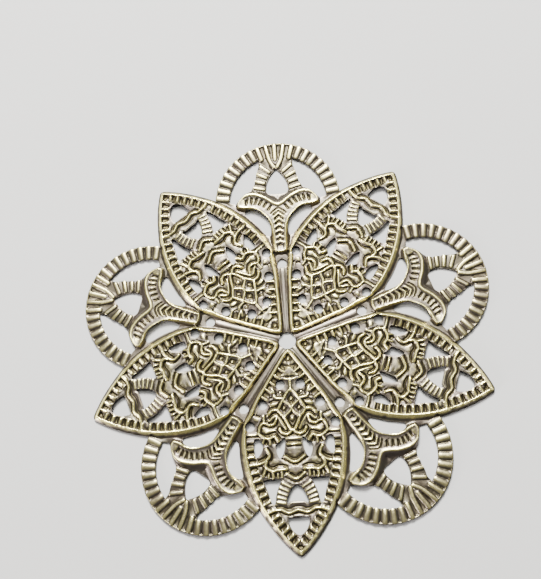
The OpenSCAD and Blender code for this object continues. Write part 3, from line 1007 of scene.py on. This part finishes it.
def polish_and_shade(mesh, relief):
    """Store at each corner how much rubbing has polished it, with painted shade on the cut walls and the
    steep walls, for the finish to read.
    """
    points = coordinates(mesh)
    worn_and_shaded = relief.at(relief.wear_and_shade, points[:, 0], points[:, 1])
    height = relief.at(relief.height, points[:, 0], points[:, 1])
    top = points[:, 2] > height - LEAST_WALL_SHARE * relief.sheet / 2
    worn_and_shaded = np.where(top, worn_and_shaded, BACK_POLISH)
    corners, rise = corners_and_rise(mesh)
    # Cut walls get a low value that the finish colours dark: painted shade
    value = np.where(np.abs(rise) < CUT_WALL_TILT, CUT_WALL_PAINTED_SHADE, worn_and_shaded[corners])
    stored = mesh.attributes.new("polish_and_shade", "FLOAT", "CORNER")
    stored.data.foreach_set("value", value.astype(np.float32))


def whole_flower(obj, unit):
    """Mirror the half sector, turn five copies about the middle and bring them to full size in metres."""
    alone(obj)
    apply_modifier("MIRROR", use_axis=(True, False, False), merge_threshold=MIRROR_MERGE)
    bpy.ops.transform.rotate(value=math.pi, orient_axis="Z", center_override=(0, 0, 0))
    bpy.ops.object.transform_apply(location=True, rotation=True, scale=True)
    copies = [obj]
    for _ in range(FOLD - 1):
        bpy.ops.object.duplicate()
        bpy.ops.transform.rotate(value=TURN, orient_axis="Z", center_override=(0, 0, 0))
        copies.append(bpy.context.object)
    for copy in copies:
        copy.select_set(True)
    bpy.context.view_layer.objects.active = obj
    bpy.ops.object.join()
    obj.scale = (unit, unit, unit)
    bpy.ops.object.transform_apply(location=True, rotation=True, scale=True)
    with editing():
        bpy.ops.mesh.remove_doubles(threshold=JOIN_MERGE * unit)
        bpy.ops.mesh.normals_make_consistent(inside=False)
    bpy.ops.object.shade_smooth_by_angle(angle=math.radians(SMOOTH_ANGLE))


def shade_as_pressed(mesh, relief, unit):
    """Give the pressed face the die's own slopes to shade by, so that no triangle shows in the shine."""
    points = coordinates(mesh) / unit
    side, out = -points[:, 0], -points[:, 1]
    turned = TURN * np.round(np.arctan2(side, out) / TURN)
    folded_side = side * np.cos(turned) - out * np.sin(turned)
    folded_out = side * np.sin(turned) + out * np.cos(turned)
    slope_side, slope_out = (relief.at(table, np.abs(folded_side), folded_out)
                             for table in np.gradient(relief.height, DIE_CELL))
    slope_side = slope_side * np.sign(folded_side)
    normals = np.column_stack([slope_side * np.cos(turned) + slope_out * np.sin(turned),
                               slope_out * np.cos(turned) - slope_side * np.sin(turned),
                               np.ones(len(points))])
    normals /= np.linalg.norm(normals, axis=1)[:, None]
    corners, rise = corners_and_rise(mesh)
    pressed = rise[:, None] > CUT_WALL_TILT
    mesh.normals_split_custom_set(np.where(pressed, normals[corners], 0).tolist())


# Materials

def both_ways(operation):
    """The method for an operator and its reflected form, each adding a Math node."""
    def joined(paint, first, second):
        return paint.node("ShaderNodeMath", {"operation": operation}, {0: first, 1: second})

    return (lambda self, other: joined(self.paint, self, other),
            lambda self, other: joined(self.paint, other, self))


class Wire:
    """A node socket that takes part in Python expressions."""

    __add__, __radd__ = both_ways("ADD")
    __sub__, __rsub__ = both_ways("SUBTRACT")
    __mul__, __rmul__ = both_ways("MULTIPLY")

    def __init__(self, paint, socket):
        self.paint, self.socket = paint, socket

    def between(self, low, high):
        """Nothing below one value, one above the other, smooth between them."""
        return self.paint.node("ShaderNodeMapRange", {"interpolation_type": "SMOOTHSTEP"},
                               {"Value": self, "From Min": low, "From Max": high})


class Paint:
    """A material's node tree, built node by node."""

    def __init__(self, name):
        self.material = bpy.data.materials.new(name)
        self.material.use_nodes = True
        self.tree = self.material.node_tree
        self.shader = self.tree.nodes["Principled BSDF"]

    def node(self, kind, settings=None, inputs=None, output=0):
        """Add a node, set it up, feed its sockets and hand back one of its outputs."""
        made = self.tree.nodes.new(kind)
        for key, value in (settings or {}).items():
            setattr(made, key, value)
        self.feed(made, inputs or {})
        return Wire(self, made.outputs[output])

    def feed(self, made, inputs):
        """Link or set each of a node's inputs."""
        for key, value in inputs.items():
            if isinstance(value, Wire):
                self.tree.links.new(value.socket, made.inputs[key])
            else:
                made.inputs[key].default_value = value

    def mix(self, factor, first, second):
        """Two colours mixed by a factor."""
        return self.node("ShaderNodeMix", {"data_type": "RGBA"},
                         {MIX_FACTOR: factor, MIX_FIRST: first, MIX_SECOND: second}, MIX_RESULT)

    def noise(self, place_on, scale):
        """Soft noise with a number of cells to the metre."""
        return self.node("ShaderNodeTexNoise", {}, {"Vector": place_on, "Scale": scale})


def antiqued_brass(look):
    """Brass darkened in its hollows and rubbed bright on its crests, with painted shade on its walls."""
    paint = Paint("antiqued_brass")
    place_on = paint.node("ShaderNodeTexCoord", output="Object")
    wear_and_shade = paint.node("ShaderNodeAttribute", {"attribute_name": "polish_and_shade"}, output="Fac")
    cloud = paint.noise(place_on, CLOUD_SCALE)
    grain = paint.noise(place_on, GRAIN_SCALE)
    worn_and_shaded = wear_and_shade + (cloud - NOISE_MIDDLE) * WANDER + (grain - NOISE_MIDDLE) * WANDER
    rubbed = worn_and_shaded.between(*RUBBED)
    # Dark patina in the hollows, and painted shade on the walls, wherever the stored value is low
    sunk_and_shaded = worn_and_shaded.between(*SUNK_AND_SHADED)
    pitting = grain + PITTING_SHARE * paint.noise(place_on, PITTING_SCALE)
    skin = paint.node("ShaderNodeBump", {}, {
        "Strength": SKIN_STRENGTH, "Distance": SKIN_HEIGHT, "Height": pitting}, "Normal")
    body = paint.mix(cloud.between(*CLOUDED), (*look.brown, 1), (*look.olive, 1))
    colour = paint.mix(sunk_and_shaded, (*look.hollow_and_shade, 1), body)
    colour = paint.mix(rubbed, colour, (*look.bright, 1))
    paint.feed(paint.shader, {
        "Base Color": colour,
        "Metallic": METALLIC,
        "Roughness": DULL - SHINE_GAIN * rubbed + GRAIN_ROUGHNESS * (grain - NOISE_MIDDLE),
        "Normal": skin,
    })
    return paint.material


def floor_finish(stage):
    """Matt pale paper with a very faint mottle."""
    paint = Paint("pale_floor")
    place_on = paint.node("ShaderNodeTexCoord", output="Object")
    mottle = paint.noise(place_on, PAPER_SCALE)
    shade = tuple(c * PAPER_SHADE for c in stage.floor)
    paint.feed(paint.shader, {
        "Base Color": paint.mix(mottle, (*shade, 1), (*stage.floor, 1)),
        "Roughness": PAPER_ROUGHNESS,
    })
    return paint.material


# Settings

def size_property(name, description, default, least=0.0):
    """A size in metres."""
    return bpy.props.FloatProperty(name=name, description=description, unit="LENGTH", default=default,
                                   min=least)


def angle_property(name, description, degrees):
    """An angle, given here in degrees."""
    return bpy.props.FloatProperty(name=name, description=description, subtype="ANGLE",
                                   default=math.radians(degrees))


def colour_property(name, description, default):
    """A colour, as red, green and blue."""
    return bpy.props.FloatVectorProperty(name=name, description=description, subtype="COLOR", size=3,
                                         default=default)


class FlowerSizes(bpy.types.PropertyGroup):
    """Sizes of the pressed sheet."""
    reach: size_property("Reach", "From the flower's middle to the edge of a lobe", REACH * MM, MM)
    sheet: size_property("Sheet", "Thickness of the brass sheet", SHEET_TOP * MM, LEAST_SHEET * MM)
    depth: bpy.props.FloatProperty(
        name="Relief", description="How deeply the sheet is pressed, against the real one",
        subtype="FACTOR", default=1.0, min=0.2, max=2.0)


class FlowerLook(bpy.types.PropertyGroup):
    """Colours of the antiqued brass."""
    bright: colour_property("Crests", "Colour of the rubbed crests", (0.96, 0.86, 0.33))
    olive: colour_property("Flats", "Colour of the flat sheet", (0.112, 0.100, 0.075))
    brown: colour_property("Stains", "Browner clouds on the flat sheet", (0.122, 0.100, 0.082))
    # The hollows' dark colour also paints the shade on the walls
    hollow_and_shade: colour_property("Hollows", "Colour of the darkened hollows", (0.031, 0.025, 0.010))


class FlowerStage(bpy.types.PropertyGroup):
    """Floor and camera."""
    floor: colour_property("Floor", "Colour of the floor", (0.50, 0.50, 0.49))
    floor_size: size_property("Floor size", "Side of the square floor", 6.0)
    azimuth: angle_property("Azimuth", "Side that the camera stands on, from the front to the right", 14.82)
    elevation: angle_property("Elevation", "Height of the camera above the floor", 75.22)
    roll: angle_property("Roll", "Turn of the camera about its own line of sight", -18.96)
    distance: size_property("Distance", "From the camera to the point it looks at", 0.13668)
    aim: bpy.props.FloatVectorProperty(
        name="Aim", description="Point of the floor in the middle of the picture", subtype="XYZ", size=3,
        unit="LENGTH", default=(-0.00202, 0.00807, 0.0))
    lens: bpy.props.FloatProperty(
        name="Lens", description="Focal length for a 36 mm frame", unit="CAMERA", default=56.28)


# Operators

class FLOWER_OT_stamping(bpy.types.Operator):
    """Press the flower out of one half sector and finish it in antiqued brass"""
    bl_idname = "flower.stamping"
    bl_label = "Flower stamping"

    def execute(self, context):
        bpy.ops.object.select_all(action="DESELECT")
        sizes = context.scene.flower_sizes
        unit = sizes.reach / REACH
        relief = Relief(sizes.sheet / unit, sizes.depth)
        obj = pressed_sector(relief)
        thin(obj)
        polish_and_shade(obj.data, relief)
        whole_flower(obj, unit)
        shade_as_pressed(obj.data, relief, unit)
        if not obj.data.polygons:
            raise RuntimeError("the stamping has no faces")
        obj.data.materials.append(antiqued_brass(context.scene.flower_look))
        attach(obj, "root")
        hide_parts("stamping")
        return {"FINISHED"}


class FLOWER_OT_stage(bpy.types.Operator):
    """Lay the floor, hang the soft lights and set up the camera"""
    bl_idname = "flower.stage"
    bl_label = "Floor, light and camera"

    def execute(self, context):
        stage = context.scene.flower_stage
        bpy.ops.object.select_all(action="DESELECT")
        bpy.ops.mesh.primitive_plane_add(size=stage.floor_size, location=(0, 0, -FLOOR_BELOW))
        floor = bpy.context.object
        floor.name = "floor"
        floor.data.materials.append(floor_finish(stage))
        self.lights(context.scene)
        self.camera(context.scene, stage)
        return {"FINISHED"}

    def lights(self, scene):
        """Hang the soft boxes, each turned to the flower, in a dim room."""
        for name, spot, size, power, tint in SOFT_BOXES:
            bpy.ops.object.light_add(type="AREA", location=spot)
            lamp = bpy.context.object
            lamp.name = name
            lamp.data.size = size
            lamp.data.energy = power
            lamp.data.color = tint
            lamp.rotation_euler = Vector(spot).to_track_quat("Z", "Y").to_euler()
        room = bpy.data.worlds.new("room")
        room.use_nodes = True
        background = room.node_tree.nodes["Background"]
        background.inputs["Color"].default_value = ROOM_TINT
        background.inputs["Strength"].default_value = ROOM_STRENGTH
        scene.world = room

    def camera(self, scene, stage):
        """Look at the flower from where the photograph was taken."""
        bpy.ops.object.camera_add()
        camera = bpy.context.object
        tilt = Euler((math.pi / 2 - stage.elevation, 0, stage.azimuth)).to_matrix()
        turn = tilt @ Euler((0, 0, stage.roll)).to_matrix()
        camera.rotation_euler = turn.to_euler()
        camera.location = Vector(stage.aim) + turn @ Vector((0, 0, stage.distance))
        camera.data.lens = stage.lens
        camera.data.sensor_width = FRAME_WIDTH
        camera.data.clip_start = NEAREST_SEEN
        scene.camera = camera


class FLOWER_PT_panel(bpy.types.Panel):
    """Sidebar panel that lists the operators and their settings"""
    bl_idname = "FLOWER_PT_panel"
    bl_label = "Filigree flower"
    bl_space_type = "VIEW_3D"
    bl_region_type = "UI"
    bl_category = "Flower"

    def draw(self, context):
        layout = self.layout
        scene = context.scene
        for name, kind in GROUPS.items():
            for key in kind.__annotations__:
                layout.prop(getattr(scene, name), key)
        layout.operator(FLOWER_OT_stamping.bl_idname)
        layout.operator(FLOWER_OT_stage.bl_idname)


GROUPS = {"flower_sizes": FlowerSizes, "flower_look": FlowerLook, "flower_stage": FlowerStage}
CLASSES = (*GROUPS.values(), FLOWER_OT_stamping, FLOWER_OT_stage, FLOWER_PT_panel)


def register():
    for cls in CLASSES:
        bpy.utils.register_class(cls)
    for name, kind in GROUPS.items():
        setattr(bpy.types.Scene, name, bpy.props.PointerProperty(type=kind))


def unregister():
    for name in GROUPS:
        delattr(bpy.types.Scene, name)
    for cls in reversed(CLASSES):
        bpy.utils.unregister_class(cls)


def main():
    register()
    bpy.ops.flower.stamping()
    bpy.ops.flower.stage()


if __name__ == "__main__":
    main()
